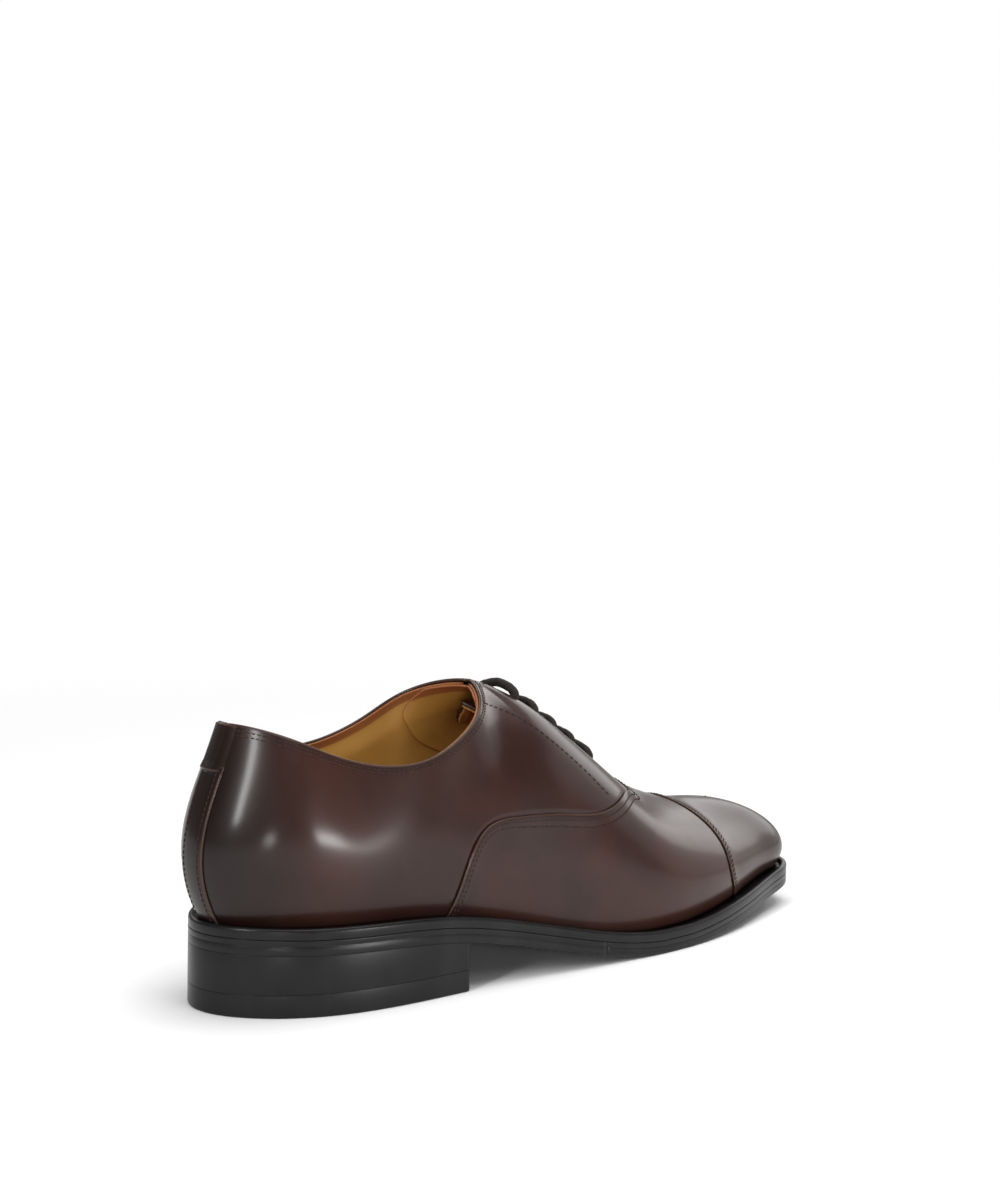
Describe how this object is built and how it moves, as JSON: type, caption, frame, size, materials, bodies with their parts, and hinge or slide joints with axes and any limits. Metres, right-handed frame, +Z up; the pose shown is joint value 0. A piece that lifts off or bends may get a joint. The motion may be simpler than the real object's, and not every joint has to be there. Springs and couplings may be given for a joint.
{
  "type": "oxford shoe",
  "caption": "Right-foot leather cap-toe oxford shoe with closed facings, straight-bar lacing, welted rubber sole and a block heel; the tongue swings on its root.",
  "frame": {"origin": "on the ground under the middle of the shoe's bounding box", "axes": "+X towards the toe, +Y towards the inner (medial) side of the foot, +Z up"},
  "size_m": [0.304, 0.0978, 0.1065],
  "materials": {
    "upper_leather": "polished box calf, dark chestnut brown, burnished darker at heel and toe",
    "lining_leather": "vegetable-tanned lining leather, golden tan, matt",
    "facing_lining_leather": "reddish brown lining leather, soft sheen",
    "sock_leather": "smooth tan sock leather",
    "sole_rubber": "black satin rubber and ink-finished edge",
    "heel_rubber": "black rubber, fine satin",
    "insole_fibre": "compressed leather board",
    "cork": "cork and resin bottom filler",
    "shank_steel": "spring steel strip",
    "nail_steel": "bright heel nails",
    "stiffener": "resin-stiffened board and tape",
    "eyelet_metal": "black lacquered brass",
    "lace_cotton": "round waxed cotton braid, dark brown",
    "aglet_plastic": "dark brown film tip"
  },
  "bodies": {
    "shoe": {"toe_cap": "upper_leather", "vamp": "upper_leather", "quarter_lateral": "upper_leather", "quarter_medial": "upper_leather", "backstay": "upper_leather", "heel_tab": "upper_leather", "quarter_lining_lateral": "lining_leather", "quarter_lining_medial": "lining_leather", "vamp_lining": "lining_leather", "facing_lining_lateral": "facing_lining_leather", "facing_lining_medial": "facing_lining_leather", "sock": "sock_leather", "insole_board": "insole_fibre", "cork_filler": "cork", "shank": "shank_steel", "outsole": "sole_rubber", "tread_sole": "sole_rubber", "welt": "sole_rubber", "heel_block": "heel_rubber", "top_piece": "heel_rubber", "heel_counter": "stiffener", "toe_puff": "stiffener", "eyelet_stay_lateral": "stiffener", "eyelet_stay_medial": "stiffener", "topline_tape_lateral": "stiffener", "topline_tape_medial": "stiffener", "lace": "lace_cotton", "aglet_lateral": "aglet_plastic", "aglet_medial": "aglet_plastic", "heel_nail_1": "nail_steel", "heel_nail_2": "nail_steel", "heel_nail_3": "nail_steel", "heel_nail_4": "nail_steel", "heel_nail_5": "nail_steel", "eyelet_lateral_1": "eyelet_metal", "eyelet_lateral_2": "eyelet_metal", "eyelet_lateral_3": "eyelet_metal", "eyelet_lateral_4": "eyelet_metal", "eyelet_lateral_5": "eyelet_metal", "eyelet_medial_1": "eyelet_metal", "eyelet_medial_2": "eyelet_metal", "eyelet_medial_3": "eyelet_metal", "eyelet_medial_4": "eyelet_metal", "eyelet_medial_5": "eyelet_metal"},
    "tongue": {"tongue": "upper_leather", "tongue_lining": "lining_leather"}
  },
  "joints": [
    {"name": "tongue_root", "type": "hinge", "parent": "shoe", "child": "tongue", "pos_m": [0.02776, 0.0039, 0.06488], "axis": [0, -1, 0], "range_deg": [0, 12], "stiffness_Nm_per_rad": 0.05}
  ]
}
